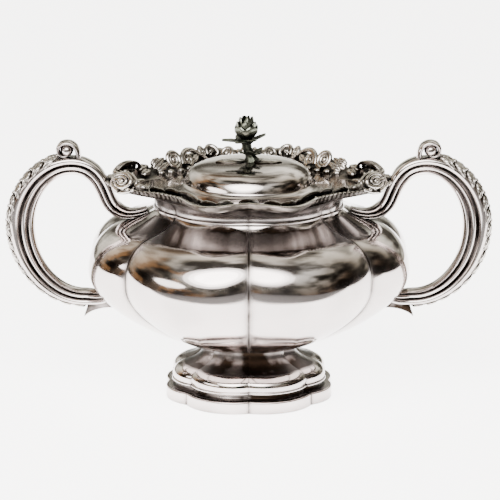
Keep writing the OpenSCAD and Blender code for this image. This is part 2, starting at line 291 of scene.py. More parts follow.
def silver(name, color, shade_and_tarnish, occlusion_shade_share, roughness, relief, mottle_scale):
    """Polished or cast silver, with painted shade: an ambient occlusion node and the hollow attribute darken the
    base colour in creases, recesses and under parts, mottled at random, with a thin tarnish film over all.
    """
    mat = bpy.data.materials.new(name)
    mat.use_nodes = True
    tree = mat.node_tree
    links = tree.links
    shader = tree.nodes["Principled BSDF"]
    shader.inputs["Metallic"].default_value = 1.0
    place = add_node(tree, "ShaderNodeTexCoord")

    def noise_node(scale, detail):
        tex = add_node(tree, "ShaderNodeTexNoise", {"Scale": scale, "Detail": detail})
        links.new(place.outputs["Object"], tex.inputs["Vector"])
        return tex.outputs["Fac"]

    def noise_between(scale, detail, low, high):
        span = add_node(tree, "ShaderNodeMapRange",
                        {"From Min": 0.3, "From Max": 0.7, "To Min": low, "To Max": high})
        links.new(noise_node(scale, detail), span.inputs["Value"])
        return span.outputs["Result"]

    def math_node(kind, a, b):
        node = add_node(tree, "ShaderNodeMath")
        node.operation = kind
        node.use_clamp = True
        for socket, value in zip(node.inputs, (a, b)):
            if isinstance(value, (int, float)):
                socket.default_value = value
            else:
                links.new(value, socket)
        return node.outputs[0]

    hollow = add_node(tree, "ShaderNodeAttribute")
    hollow.attribute_name = "hollow"
    # Painted shade: ambient occlusion darkens corners and recesses, added to the painted shade carried in the
    # hollow attribute.
    corner = add_node(tree, "ShaderNodeAmbientOcclusion", {"Distance": 0.004})
    corner.samples = 6
    occlusion_shade = math_node("SUBTRACT", 1.0, corner.outputs["AO"])
    shade_depth = math_node("ADD", math_node("MULTIPLY", occlusion_shade, occlusion_shade_share), hollow.outputs["Fac"])
    # Random mottling and a thin tarnish film vary the painted shade; both pull the colour towards the same dark
    # tone.
    patches = noise_between(mottle_scale, 5.0, 0.55, 1.25)
    film = noise_between(38.0, 4.0, -0.06, 0.20)
    shade_and_tarnish_mix = math_node("ADD", math_node("MULTIPLY", shade_depth, patches), film)

    tint = add_node(tree, "ShaderNodeMix")
    tint.data_type = "RGBA"
    tint.inputs["A"].default_value = (*color, 1)
    tint.inputs["B"].default_value = (*shade_and_tarnish, 1)
    links.new(shade_and_tarnish_mix, tint.inputs["Factor"])
    links.new(tint.outputs["Result"], shader.inputs["Base Color"])

    smears = noise_between(55.0, 6.0, *roughness)
    rough = math_node("ADD", smears, math_node("MULTIPLY", shade_and_tarnish_mix, 0.30))
    links.new(rough, shader.inputs["Roughness"])

    scratch = add_node(tree, "ShaderNodeTexNoise", {"Scale": 1.0, "Detail": 2.0})
    stretch = add_node(tree, "ShaderNodeMapping", {"Rotation": (0.3, 0.5, 0.9), "Scale": (90, 4200, 900)})
    links.new(place.outputs["Object"], stretch.inputs["Vector"])
    links.new(stretch.outputs["Vector"], scratch.inputs["Vector"])
    fine = add_node(tree, "ShaderNodeBump", {"Strength": relief[0], "Distance": 0.00005})
    links.new(scratch.outputs["Fac"], fine.inputs["Height"])
    coarse = add_node(tree, "ShaderNodeBump", {"Strength": relief[1], "Distance": 0.0004})
    links.new(noise_node(130.0, 3.0), coarse.inputs["Height"])
    links.new(fine.outputs["Normal"], coarse.inputs["Normal"])
    links.new(coarse.outputs["Normal"], shader.inputs["Normal"])
    return mat


# Each silver's second colour is the dark tone that painted shade and tarnish pull the base colour towards.
POLISHED = silver("polished_silver", color=(0.62, 0.56, 0.54), shade_and_tarnish=(0.014, 0.009, 0.006), occlusion_shade_share=0.95,
                  roughness=(0.04, 0.12), relief=(0.10, 0.05), mottle_scale=60)
CAST = silver("cast_silver", color=(0.74, 0.69, 0.64), shade_and_tarnish=(0.012, 0.008, 0.005), occlusion_shade_share=1.7,
              roughness=(0.08, 0.20), relief=(0.15, 0.25), mottle_scale=120)
OXIDISED = silver("oxidised_silver", color=(0.21, 0.22, 0.175), shade_and_tarnish=(0.008, 0.010, 0.006), occlusion_shade_share=2.0,
                  roughness=(0.18, 0.36), relief=(0.2, 0.5), mottle_scale=160)

for cad_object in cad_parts.values():
    cad_object.data.materials.clear()
    cad_object.data.materials.append(POLISHED)


# ---- bowl ----

FINE_ANGLES = lobe_angles(22)
BELLY_UNDER = [[STEM_R, STEM_Z], [46, STEM_Z + 4.2], [BELLY_R, STEM_Z + 24.9], [BELLY_R, BELLY_Z]]
BELLY = chain(BELLY_UNDER + [
    [BELLY_R, BELLY_Z + 12.5], [73.5, BELLY_Z + 20.5],
    [64, BELLY_Z + 22.3], [58, BELLY_Z + 23.8], [49, BELLY_Z + 26],
    [WAIST_R, WAIST_Z]
], 22)
FLOOR_R = 1.0


def body_shell():
    outside = np.vstack([[[FLOOR_R, STEM_Z], [12, STEM_Z]], BELLY])
    inside = np.vstack([[[FLOOR_R, STEM_Z + SHEET], [12, STEM_Z + SHEET]], offset_path(BELLY, SHEET)])[::-1]
    solid = vessel(np.vstack([outside, inside]), FINE_ANGLES, 0.3, len(outside) - 6, shade_and_tarnish=1.0)
    solid.piece("body", POLISHED, "bowl", "body_shell", "polished_silver", 80)


NECK = chain([[WAIST_R, WAIST_Z], [WAIST_R - 0.6, WAIST_Z + 2.4], [WAIST_R, WAIST_Z + 5],
              [WAIST_R + 4, RIM_Z - 1.9]], 26)
WIRE_R = 0.9


def neck_shade(r, z):
    """Painted shade on the neck, deepening up under the rim."""
    return 0.25 + 0.75 * clamped((z - WAIST_Z - 1) / 6)


def neck():
    wall = np.vstack([NECK, offset_path(NECK, SHEET)[::-1]])
    vessel(wall, FINE_ANGLES, 0.1, len(NECK), loop=True, dark=neck_shade).piece(
        "neck", POLISHED, "bowl", "neck_collar", "polished_silver", 80)
    wire = [(WAIST_R + WIRE_R * math.cos(t), WAIST_Z + WIRE_R * math.sin(t))
            for t in np.linspace(-1.5, 1.5, 13)]
    vessel(wire, FINE_ANGLES, loop=True).piece(
        "neck_seam_wire", POLISHED, "bowl", "neck_wire", "polished_silver", 60)


# ---- rim ----

RIM_BASE_R = 51.0
SIDE_REACH, SIDE_SPREAD = 19.0, 25.0
CORNER_REACH, CORNER_AT, CORNER_SPREAD = 12.0, 70.0, 12.5
OVERHANG = 1.2


def rim_outline(angle):
    q = folded(angle)
    return RIM_BASE_R + SIDE_REACH * bump(q, SIDE_SPREAD) + CORNER_REACH * bump(q - CORNER_AT, CORNER_SPREAD)


# Painted shade on the underside of the rim plate.
UNDERSIDE_SHADE = 1.1
PLATE_SHARES = [0, 0.2, 0.45, 0.75, 1]
PLATE_RISES = [0, 0.2, 0.8, 1.8, PLATE_RISE]


def plate_z(share):
    """Height of the plate's underside between the mouth (0) and the edge (1)."""
    return MOUTH_Z + float(np.interp(share, PLATE_SHARES, PLATE_RISES))


def rim_plate():
    angles = np.linspace(0, 360, 360, endpoint=False)
    shares = [eased(k / 26) for k in range(27)]
    rows, hollow = [], []
    for lift, order in ((0, shares), (SHEET, shares[::-1])):
        for share in order:
            row = []
            # Painted shade: the underside rows are darkened, the top rows not.
            hollow.append([0.0 if lift else UNDERSIDE_SHADE] * len(angles))
            for a in angles:
                r = MOUTH_R + (rim_outline(a) - OVERHANG - MOUTH_R) * share
                x, y, z = polar(r, a, plate_z(share) + lift)
                row.append((x, y, z + hand_wobble((x, y, z), 0.16, 14.0)))
            rows.append(row)
    solid = Solid()
    solid.grid(rows, hollow, loop=True)
    solid.piece("rim_plate_polished", POLISHED, "bowl", "rim_plate", "polished_silver", 60)


# The rim's edge from the middle of a handle to the front, and the way in from it
EDGE_ANGLES = np.linspace(0, 90, 361)
EDGE = np.array([polar(rim_outline(a), a, 0)[:2] for a in EDGE_ANGLES])
EDGE_AT = lengths(EDGE)
EDGE_LENGTH = EDGE_AT[-1]
EDGE_DIRECTION = directions(EDGE)


def on_rim(u, v, h):
    """Point u along the edge from the handle line, v in from the edge and h above the plate."""
    flip_y = -1 if u < 0 else 1
    u = abs(u)
    flip_x = 1
    if u > EDGE_LENGTH:
        u = 2 * EDGE_LENGTH - u
        flip_x = -1
    x = float(np.interp(u, EDGE_AT, EDGE[:, 0]))
    y = float(np.interp(u, EDGE_AT, EDGE[:, 1]))
    dx = float(np.interp(u, EDGE_AT, EDGE_DIRECTION[:, 0]))
    dy = float(np.interp(u, EDGE_AT, EDGE_DIRECTION[:, 1]))
    x, y = x - dy * v, y + dx * v
    angle = math.degrees(math.atan2(y, x))
    share = (math.hypot(x, y) - MOUTH_R) / (rim_outline(angle) - MOUTH_R)
    return x * flip_x, y * flip_y, plate_z(clamped(share)) + SHEET + h


# ---- ornament, in flat coordinates (u, v, h) that a place function bends round the object ----

BURIED = -0.5


def leaf(solid, place, a, b, width, rise, lift=0.0, scallops=3, groove=0.35):
    """Leaf from a to b with a scalloped margin and a midrib groove."""
    a, b = np.array(a, float), np.array(b, float)
    along = b - a
    side = np.array([-along[1], along[0]]) / np.linalg.norm(along)
    rows, hollow = [], []
    across = np.linspace(-1, 1, 9)
    steps = 14
    for i in range(steps + 1):
        s = 0.02 + 0.96 * i / steps
        w = width * math.sin(math.pi * s ** 0.75) ** 0.8 * (0.86 + 0.24 * abs(math.sin(scallops * math.pi * s)))
        row, deep = [], []
        for t in across:
            p = a + along * s + side * w * t
            dome = math.sqrt(max(0.0, 1 - t * t)) * math.sin(math.pi * s) ** 0.45
            cut = groove * bump(t, 0.22) + 0.16 * abs(math.sin(scallops * math.pi * s + 2.2 * abs(t)))
            row.append(place(p[0], p[1], lift + rise * dome * (1 - cut)))
            # Painted shade at the leaf's margin and in its midrib groove; the buried rows below are fully
            # darkened.
            deep.append(min(1.0, 0.9 * (1 - dome) ** 1.5 + 0.8 * cut * bump(t, 0.3)))
        for t in across[::-1]:
            p = a + along * s + side * w * t * 0.9
            row.append(place(p[0], p[1], BURIED))
            deep.append(1)
        rows.append(row)
        hollow.append(deep)
    solid.grid(rows, hollow)


def strand(solid, place, path, r0, r1, flat=1.0, lift=0.0, climb=0.0):
    """Rounded cord of metal along a flat path, thinning from r0 to r1 and climbing on its way."""
    path = np.asarray(path, float)
    d = directions(path)
    rows, hollow = [], []
    last = len(path) - 1
    for i, p in enumerate(path):
        r = r0 + (r1 - r0) * i / last
        row, deep = [], []
        for t in ring(10):
            out = r * math.cos(t)
            rise = lift + climb * i / last + r * flat * (0.5 + math.sin(t))
            row.append(place(p[0] - d[i][1] * out, p[1] + d[i][0] * out, rise))
            # Painted shade on the cord's underside; its top is left bright.
            deep.append(0.6 - 0.8 * math.sin(t))
        rows.append(row)
        hollow.append(deep)
    solid.grid(rows, hollow)


def bead(solid, place, u, v, r, lift=0.0):
    """Domed bead standing on the surface."""
    rows, hollow = [], []
    for i in range(1, 8):
        t = math.pi * i / 8
        row = [place(u + r * math.sin(t) * math.cos(f), v + r * math.sin(t) * math.sin(f),
                     lift + 0.9 * r * math.cos(t)) for f in ring(12)]
        rows.append(row)
        # Painted shade on the bead's lower half.
        hollow.append([max(0.0, -math.cos(t) + 0.25)] * 12)
    solid.grid(rows, hollow)


def fan(solid, place, u, v, radius, spread, flutes, rise, stretch=1.0):
    """Scallop shell whose flutes open upward from (u, v)."""
    heading = math.pi / 2
    columns = flutes * 8
    rows, hollow = [], []
    for i in range(13):
        s = i / 12
        row, deep = [], []
        for k in range(columns + 1):
            f = -1 + 2 * k / columns
            ridge = abs(math.cos(0.5 * math.pi * flutes * (f + 1) + math.pi / 2))
            reach = radius * (0.12 + 0.88 * s) * (1 - 0.08 * (1 - ridge) * s) * (1 - 0.12 * f * f)
            angle = heading + spread * f
            h = rise * (0.35 + 0.65 * s) * (1 - 0.5 * max(0.0, s - 0.75) / 0.25) * (0.62 + 0.38 * ridge)
            row.append(place(u + stretch * reach * math.cos(angle), v + reach * math.sin(angle), h))
            # Painted shade in the flute valleys, deeper towards the shell's outer edge; the buried base rows are
            # fully darkened.
            deep.append(0.95 * (1 - ridge) ** 1.5 * (0.4 + 0.6 * s))
        reach = radius * (0.12 + 0.86 * s)
        base = [place(u + stretch * reach * math.cos(heading + spread * f),
                      v + reach * (1 - 0.12 * f * f) * math.sin(heading + spread * f), BURIED)
                for f in (1, 0.5, 0, -0.5, -1)]
        rows.append(row + base)
        hollow.append(deep + [1] * 5)
    solid.grid(rows, hollow)


FLUTE = 2.7                        # length of one gadroon along the edge


def backing(solid, u0, u1, width, crest, fluted=(0.0, 0.0), first_crest=None):
    """Band that slopes up to the rim's edge under the ornament, gadrooned between the distances in fluted.

    Its section is a list of (in from the edge, share of the crest or depth, share of the flute, painted shade).
    """
    outer = [(2.6, -1.7, 0.2, 1), (1.5, -1.2, 0.4, 0.9), (0.8, -0.4, 0.6, 0.7), (0.35, 0.2, 0.8, 0.6),
             (0.0, 0.44, 1, 0.5), (-0.5, 0.62, 1, 0.4), (-0.7, 0.70, 1, 0.6), (-1.2, 0.74, 1, 0.2),
             (-1.5, 0.84, 1, 0), (-1.3, 0.94, 1, 0), (-0.6, 1.0, 0.9, 0), (0.4, 0.93, 0.6, 0.1)]
    inner = [(1.4, 0.76, 0.2, 0.7), (0.35 * width, 0.52, 0, 0.9), (0.6 * width, 0.27, 0, 0.9),
             (width - 1, 0.12, 0, 0.6), (width, 0.02, 0, 0.6)]
    section = outer + inner + [(width, -0.6, 0, 1), (3.4, -1.2, 0, 1)]
    first_crest = first_crest or crest
    steps = max(40, int((u1 - u0) / FLUTE * 10))
    rows, hollow = [], []
    for i in range(steps + 1):
        u = u0 + (u1 - u0) * i / steps
        inside = min(max(abs(u) - fluted[0], 0), max(fluted[1] - abs(u), 0), 1.0)
        valley = inside * (1 - abs(math.sin(math.pi * u / FLUTE)) ** 0.8)
        tall = first_crest + (crest - first_crest) * eased(min(1.0, (u - u0) / 9))
        rows.append([on_rim(u, v + 0.8 * valley * k, (h * tall if h > 0 else h) - 0.5 * valley * k)
                     for v, h, k, edge_shade in section])
        # Painted shade from the section, deepened in the gadroon valleys.
        hollow.append([min(1, edge_shade + 1.2 * valley * k) for v, h, k, edge_shade in section])
    solid.grid(rows, hollow)


def raked(v0, h0, slope):
    """Place function for ornament drawn along the edge and up a slope that rises to the rim's edge."""
    c, s = math.cos(math.radians(slope)), math.sin(math.radians(slope))
    return lambda along, up, out: on_rim(along, v0 - up * c + out * s, h0 + up * s + out * c)


def turned_out(v0, h0, slope):
    """Place function for a disc of ornament whose face looks outward and up from the rim's edge."""
    c, s = math.cos(math.radians(slope)), math.sin(math.radians(slope))
    return lambda along, up, out: on_rim(along, v0 + up * c - out * s, h0 + up * s + out * c)


def oval(centre, radius, turns, start, turn=1, shrink=0.25, steps=40):
    """Flat spiral with different radii along and across the edge."""
    out = []
    for i in range(steps + 1):
        t = i / steps
        k = 1 - (1 - shrink) * t
        angle = start + turn * turns * 2 * math.pi * t
        out.append((centre[0] + radius[0] * k * math.cos(angle), centre[1] + radius[1] * k * math.sin(angle)))
    return out


def edge_at(angle):
    """Distance along the edge to an angle round the bowl."""
    return float(np.interp(angle, EDGE_ANGLES, EDGE_AT))


SIDE_SHELL_END = edge_at(27)
CENTRE_SHELL_START = edge_at(77)
SIDE_CREST = 1.6
BACK_CREST, FRONT_CREST = 4.4, 2.2
FRONT_TALL = 0.42                   # height of the front's ornament as a share of the back's


def side_shell():
    """Pair of large volutes that meet over a handle, drawn for the right-hand side."""
    solid = Solid()
    backing(solid, -SIDE_SHELL_END, SIDE_SHELL_END, 12, SIDE_CREST, (26.5, SIDE_SHELL_END + 2))
    slope = raked(12.6, 0.8, 6)
    fan(solid, slope, 0, 0.5, 13.0, math.radians(32), 5, 2.6)
    for side in (-1, 1):
        centre = (side * 12.0, 7.4)
        strand(solid, slope, oval(centre, (8.0, 5.6), 2.2, -math.pi / 2 + side * 1.3, side, 0.14, 70), 1.3, 0.8,
               flat=1.25, lift=0.5, climb=1.6)
        bead(solid, slope, centre[0], centre[1], 1.6, lift=2.4)
        face = turned_out(1.7, 3.5, 58)
        disc = [(side * 17.5 + 8.7 * math.cos(a), 5.4 * math.sin(a)) for a in np.linspace(0, 2 * math.pi, 40)]
        strand(solid, face, disc, 0.9, 0.9, lift=-0.9)
        strand(solid, face, oval((side * 17.5, 0), (8.1, 4.9), 2.6, -math.pi / 2, -side, 0.12, 80), 1.25, 0.75,
               flat=1.2, lift=-0.2, climb=1.0)
        bead(solid, face, side * 17.5, 0, 1.5, lift=1.0)
        leaf(solid, face, (side * 17.5 - 7.6, 0), (side * 17.5 + 7.6, 0), 3.0, 1.3,
             lift=-1.2, scallops=0, groove=0)
        for k in range(9):
            bead(solid, on_rim, side * (1.6 + 3.1 * k), -0.7, 1.15, lift=SIDE_CREST * 0.6)
        for k in range(4):
            root, tip = (side * (4.6 + 1.2 * k), 9.5 + 1.1 * k), (side * (10.5 + 3.4 * k), 13.6 + 0.2 * k)
            leaf(solid, on_rim, root, tip, 1.5, 1.9, lift=0.5, scallops=2)
        leaf(solid, slope, (side * 24.5, 9.5), (side * 33, 11.6), 2.4, 2.6, lift=0.4)
        leaf(solid, slope, (side * 23.5, 4.6), (side * 31.5, 7.4), 2.4, 2.4, lift=0.2)
    return solid


def centre_shell(tall, crest):
    """Smaller shell at the middle of the back or front. tall scales the ornament's height."""
    solid = Solid()
    middle = EDGE_LENGTH
    backing(solid, CENTRE_SHELL_START, 2 * middle - CENTRE_SHELL_START, 8, crest)
    slope = raked(7.2, 0.4, 46)
    fan(solid, slope, middle, 0.6, 8.4 * tall, math.radians(60), 7, 2.2, stretch=1.1)
    for side in (-1, 1):
        curl = (middle + side * 10.2, 4.6 * tall)
        strand(solid, slope, oval(curl, (3.6, 3.4 * tall), 1.6, -math.pi / 2, -side, 0.3), 1.2, 0.75, lift=0.1)
        bead(solid, slope, curl[0], curl[1], 1.1, lift=0.9)
        leaf(solid, slope, (middle + side * 4.5, 1.6), (middle + side * 14.6, 2.4), 1.7, 1.5, lift=0.4)
    return solid


def scroll_run(tall, crest):
    """Leafage, curls and long double scrolls between two shells. tall scales the height they stand to."""
    solid = Solid()
    start, end = SIDE_SHELL_END - 0.4, CENTRE_SHELL_START + 0.4
    span = end - start

    def at(t):
        return start + span * t

    backing(solid, start, end, 7, crest, (start - 2, at(0.45)), SIDE_CREST)
    slope = raked(5.8, 0.4, 54)

    def curl(t, height, across, up, turns, turn, r0):
        centre = (at(t), height * tall)
        path = oval(centre, (across, up * tall), turns, -math.pi / 2, turn, 0.3)
        strand(solid, slope, path, r0, 0.62 * r0, lift=0.1)
        bead(solid, slope, centre[0], centre[1], 0.9 * r0, lift=0.9)

    for t0, t1, h0, h1, w in ((0.0, 0.16, 2.4, 7.2, 2.1), (0.04, 0.20, 1.2, 4.6, 1.9),
                              (0.0, 0.10, 4.4, 7.6, 1.6)):
        leaf(solid, slope, (at(t0), h0 * tall), (at(t1), h1 * tall), w, 1.7, lift=0.3)
    curl(0.245, 5.4, 4.2, 4.4, 2.0, 1, 1.3)
    arc = chain([[at(0.33), 2.6], [at(0.35), 9.4 * tall], [at(0.47), 10 * tall], [at(0.56), 6.2 * tall],
                 [at(0.60), 4.4 * tall], [at(0.63), 3.2 * tall], [at(0.66), 3.6 * tall]], 16)
    strand(solid, slope, arc, 1.4, 1.0, lift=0.1)
    curl(0.40, 4.2, 2.7, 2.8, 1.5, 1, 1.05)
    leaf(solid, slope, (at(0.44), 2.6), (at(0.58), 5.0 * tall), 1.9, 1.6, lift=0.3)
    curl(0.68, 4.6, 3.0, 3.2, 1.7, -1, 1.15)
    arc = chain([[at(0.75), 2.4], [at(0.77), 6.8 * tall], [at(0.87), 8.0 * tall], [at(0.95), 5.2 * tall],
                 [at(0.98), 3.9 * tall], [at(0.99), 2.9 * tall], [at(0.96), 2.5 * tall]], 16)
    strand(solid, slope, arc, 1.3, 0.9, lift=0.1)
    leaf(solid, slope, (at(0.78), 2.2), (at(0.93), 4.4 * tall), 1.8, 1.5, lift=0.3)
    for k in range(9):
        t = 0.04 + 0.105 * k
        leaf(solid, on_rim, (at(t), 5.2), (at(t) + 3.2, 7.6), 1.5, 1.5, lift=0.7, scallops=2)
        bead(solid, on_rim, at(t) + 0.6, 6.4, 0.75, lift=0.9)
    return solid


def rim_castings():
    ends = (("back", 1, 1, BACK_CREST), ("front", -1, FRONT_TALL, FRONT_CREST))
    shell = side_shell()
    for name, x in (("right", 1), ("left", -1)):
        shell.mirrored(x=x).piece(
            f"rim_shell_{name}_cast", CAST, "bowl", f"rim_shell_{name}", "cast_silver", 50)
        for end, y, tall, crest in ends:
            scroll_run(tall, crest).mirrored(x, y).piece(
                f"rim_scroll_{end}_{name}_cast", CAST, "bowl", f"rim_scroll_{end}_{name}", "cast_silver", 50)
    for end, y, tall, crest in ends:
        centre_shell(tall, crest).mirrored(y=y).piece(
            f"rim_shell_{end}_cast", CAST, "bowl", f"rim_shell_{end}", "cast_silver", 50)


# ---- foot ----

FOOT = chain([
    [STEM_R - 0.2, STEM_Z - 0.1], [STEM_R - 0.6, STEM_Z - 5], [STEM_R + 4, CUSHION_Z + 8.6],
    [CUSHION_R - 5.6, CUSHION_Z + 7], [CUSHION_R - 0.8, CUSHION_Z + 6.2], [CUSHION_R + 1, CUSHION_Z + 2.8],
    [CUSHION_R, CUSHION_Z]
], 20)


def flare_shade(r, z):
    """Painted shade in the hollow flare between the bowl and the cushion."""
    return 1.15 * clamped((z - CUSHION_Z - 6.4) / 0.9)


def cove_shade(r, z):
    # Painted shade in the cove under the cushion, inside the plinth's top edge.
    return 1.4 * clamped((z - PLINTH_H + 0.1) / 0.4) * (r < PLINTH_R - 1.4)


def foot():
    wall = np.vstack([FOOT, offset_path(FOOT, -SHEET)[::-1]])
    vessel(wall, FINE_ANGLES, 0.12, len(FOOT), loop=True, shade_and_tarnish=0.3, dark=flare_shade).piece(
        "foot_raised", POLISHED, "bowl", "foot", "polished_silver", 80)
    wire = [(CUSHION_R - 0.2 + 0.8 * math.cos(t), CUSHION_Z - 0.8 + 0.8 * math.sin(t))
            for t in ring(14)]
    vessel(wire, FINE_ANGLES, loop=True, shade_and_tarnish=0.9).piece(
        "foot_wire", POLISHED, "bowl", "foot_bead", "polished_silver", 80)
    cove = chain([[PLINTH_R - 1.5, PLINTH_H], [CUSHION_R - 0.6, PLINTH_H - 0.3], [CUSHION_R - 2.2, PLINTH_H + 0.6],
                  [CUSHION_R - 1.6, CUSHION_Z - 1.2]], 12)
    section = np.vstack([
        [[PLINTH_R - 0.5, 0], [PLINTH_R - 0.15, 0.1], [PLINTH_R, 0.45]],
        [[PLINTH_R, 0.5 + (PLINTH_H - 1) * k / 6] for k in range(7)],
        [[PLINTH_R - 0.15, PLINTH_H - 0.12], [PLINTH_R - 0.5, PLINTH_H]],
        cove,
        [[CUSHION_R - 3.2, CUSHION_Z - 1.2], [CUSHION_R - 3.2, PLINTH_H - 0.6], [PLINTH_R - 2, PLINTH_H - 1.6],
         [PLINTH_R - 2, 0]]
    ])
    vessel(section, FINE_ANGLES, 0.15, 12, loop=True, shade_and_tarnish=0.8, dark=cove_shade).piece(
        "foot_plinth_band", POLISHED, "bowl", "foot_plinth", "polished_silver", 50)


# ---- handles ----

LOOP_X = HANDLE_REACH - 7
HANDLE_STEPS = 40
HANDLE = chain([
    [50.4, 93.8], [60, 90.2], [67.2, 92.4],
    [70.5, 100.8], [73, 106.8], [76, HANDLE_TOP_Z],
    [88, HANDLE_TOP_Z], [101.5, HANDLE_TOP_Z], [LOOP_X, 102.3],
    [LOOP_X, 86.3], [LOOP_X, 67.3], [99, 49.8],
    [82, 49.8], [78, 49.8], [73, 48.2],
    [69.4, 52]
], HANDLE_STEPS)
HANDLE_DEPTHS = [2.2, 4.2, 4.6, 6.3, 3.9, 3.2]      # half depths at the ends of the curves
HANDLE_DIRECTION = directions(HANDLE)
HANDLE_AT = lengths(HANDLE)
HANDLE_INDEX = np.arange(len(HANDLE))


def handle_depth(i):
    """Half the handle's depth in its own plane at index i of its path."""
    k = min(int(i // HANDLE_STEPS), len(HANDLE_DEPTHS) - 2)
    return HANDLE_DEPTHS[k] + (HANDLE_DEPTHS[k + 1] - HANDLE_DEPTHS[k]) * eased(i / HANDLE_STEPS - k)


# Half of the section, from the outside of the loop to its inside: (share of depth, share of half width)
REEDING = [(1.0, 0.0), (1.0, 0.4), (0.97, 0.66), (0.9, 0.86), (0.78, 0.97), (0.62, 1.0), (0.45, 0.97),
           (0.32, 0.88), (0.24, 0.74), (0.19, 0.6), (0.14, 0.58), (0.09, 0.64), (0.02, 0.83), (-0.08, 0.93),
           (-0.2, 0.93), (-0.31, 0.84), (-0.38, 0.7), (-0.42, 0.58), (-0.46, 0.56), (-0.5, 0.6), (-0.58, 0.73),
           (-0.7, 0.77), (-0.84, 0.65), (-0.94, 0.4), (-1.0, 0.0)]
# Painted shade in the grooves of the reeding.
REED_GROOVE_SHADE = [0, 0, 0, 0, 0, 0, 0, 0, 0.35, 0.9, 1, 0.9, 0.2, 0, 0, 0, 0.35, 0.9, 1, 0.8, 0.1, 0, 0, 0, 0]


def beside_handle(i, out, y):
    """Point beside the handle's path, out away from the middle of the loop."""
    x, z = HANDLE[i]
    dx, dz = HANDLE_DIRECTION[i]
    return x - dz * out, y, z + dx * out


def handle_bar():
    solid = Solid()
    section = REEDING + [(o, -y) for o, y in REEDING[-2:0:-1]]
    deep = REED_GROOVE_SHADE + REED_GROOVE_SHADE[-2:0:-1]
    rows = []
    for i in range(len(HANDLE)):
        d = handle_depth(i)
        w = HANDLE_HALF_Y * min(1.0, d / 4)
        rows.append([beside_handle(i, d * o, w * y) for o, y in section])
    solid.grid(rows, [deep] * len(rows))
    return solid


def on_handle(u, v, h):
    """Point u along the handle's path, v round its outside from the middle and h above it, all in mm."""
    i = float(np.interp(u, HANDLE_AT, HANDLE_INDEX))
    k = min(int(i), len(HANDLE) - 2)
    t = i - k
    x, z = HANDLE[k] * (1 - t) + HANDLE[k + 1] * t
    dx, dz = HANDLE_DIRECTION[k] * (1 - t) + HANDLE_DIRECTION[k + 1] * t
    d = handle_depth(k) * (1 - t) + handle_depth(k + 1) * t
    angle = v / 6.2
    c, s = math.cos(angle), math.sin(angle)
    out = (d + h) * squared_off(c, 0.8)
    y = (HANDLE_HALF_Y + h) * squared_off(s, 0.8)
    return x - dz * out, y, z + dx * out


LEAF_FROM, LEAF_TO = 85, 165         # points of the handle's path where its acanthus begins and ends


def handle_leaf():
    """Acanthus band over the outside of the loop, thickest near the thumb curl."""
    solid = Solid()
    start, end = HANDLE_AT[LEAF_FROM], HANDLE_AT[LEAF_TO]
    span = end - start
    rows, hollow = [], []
    for i in range(121):
        t = i / 120
        half = 5.2 - 3.2 * t
        thick = 0.75 - 0.35 * t
        row = [on_handle(start + span * t, half * f, thick * (1 - f ** 4)) for f in np.linspace(-1, 1, 13)]
        row += [on_handle(start + span * t, half * f, BURIED) for f in np.linspace(1, -1, 7)]
        rows.append(row)
        # Painted shade: the band is darkened all over, fully where it sinks into the handle.
        hollow.append([0.7] * 13 + [1] * 7)
    solid.grid(rows, hollow)
    strand(solid, on_handle, [(start + span * k / 80, 0) for k in range(80)], 0.9, 0.5, lift=0.7)
    pairs = 15
    for k in range(pairs):
        t = k / pairs
        u = start + span * t
        size = 1 - 0.45 * t
        for side in (-1, 1):
            leaf(solid, on_handle, (u, side * 0.6), (u + 7.6 * size, side * 6.8 * size), 2.4 * size, 2.3 * size,
                 lift=0.4, scallops=3)
            bead(solid, on_handle, u + 5.2 * size, side * 1.9 * size, 1.0 * size, lift=1.2)
        leaf(solid, on_handle, (u + 0.4, 0), (u + 6.2 * size, 0), 1.8 * size, 1.6 * size, lift=1.1)
        bead(solid, on_handle, u + 6.6 * size, 0, 1.25 * size, lift=1.4)
    return solid


def thumb_curl():
    """Strap that rises from the top of the loop and rolls outward into a scroll with domed ends."""
    solid = Solid()
    path = chain([[84.9, 118.6], [83.4, 124], [86, 128.3], [90.2, 128.3], [94.2, 128.3], [96, 124.4],
                  [93.4, 122.3], [91.5, 120.8], [88.6, 122.2], [89.5, 124.3]], 22)
    d = directions(path)
    last = len(path) - 1
    rows, hollow = [], []
    for i, (x, z) in enumerate(path):
        t = i / last
        thick = 1.5 * (1 - 0.5 * t)
        half = 4.5 * (1 - 0.2 * t)
        row, deep = [], []
        for a in ring(36):
            c, s = math.cos(a), math.sin(a)
            across = squared_off(s, 0.7)
            flute = 0.22 * abs(math.sin(2.5 * math.pi * across)) * (c < 0)
            out = thick * (squared_off(c, 0.7) + flute)
            row.append((x - d[i][1] * out, half * across, z + d[i][0] * out))
            # Painted shade in the flutes.
            deep.append(1.6 * flute)
        rows.append(row)
        hollow.append(deep)
    solid.grid(rows, hollow)
    eye_x, eye_z = path[-1][0] + 0.6, path[-1][1] + 0.4
    rows = []
    for i in range(1, 16):
        a = math.pi * i / 16
        r, y = 3.3 * math.sin(a) ** 0.8, 5.0 * math.cos(a)
        rows.append([(eye_x + r * math.cos(f), y, eye_z + r * math.sin(f))
                     for f in ring(20)])
    solid.grid(rows)
    return solid


def along_path(path, count):
    """A path drawn again with evenly spaced points."""
    path = np.asarray(path, float)
    at = lengths(path)
    even = np.linspace(0, at[-1], count)
    return np.stack([np.interp(even, at, path[:, k]) for k in range(path.shape[1])], 1)


SPUR_HALF_Y = 3.6
BELLY_LEAF_WIDTHS = [4, 4.5, 5.6, 6.9, 7.9, 8.2, 7.7, 6.2, 4, 1.2]
BELLY_LEAF_T = 2.2


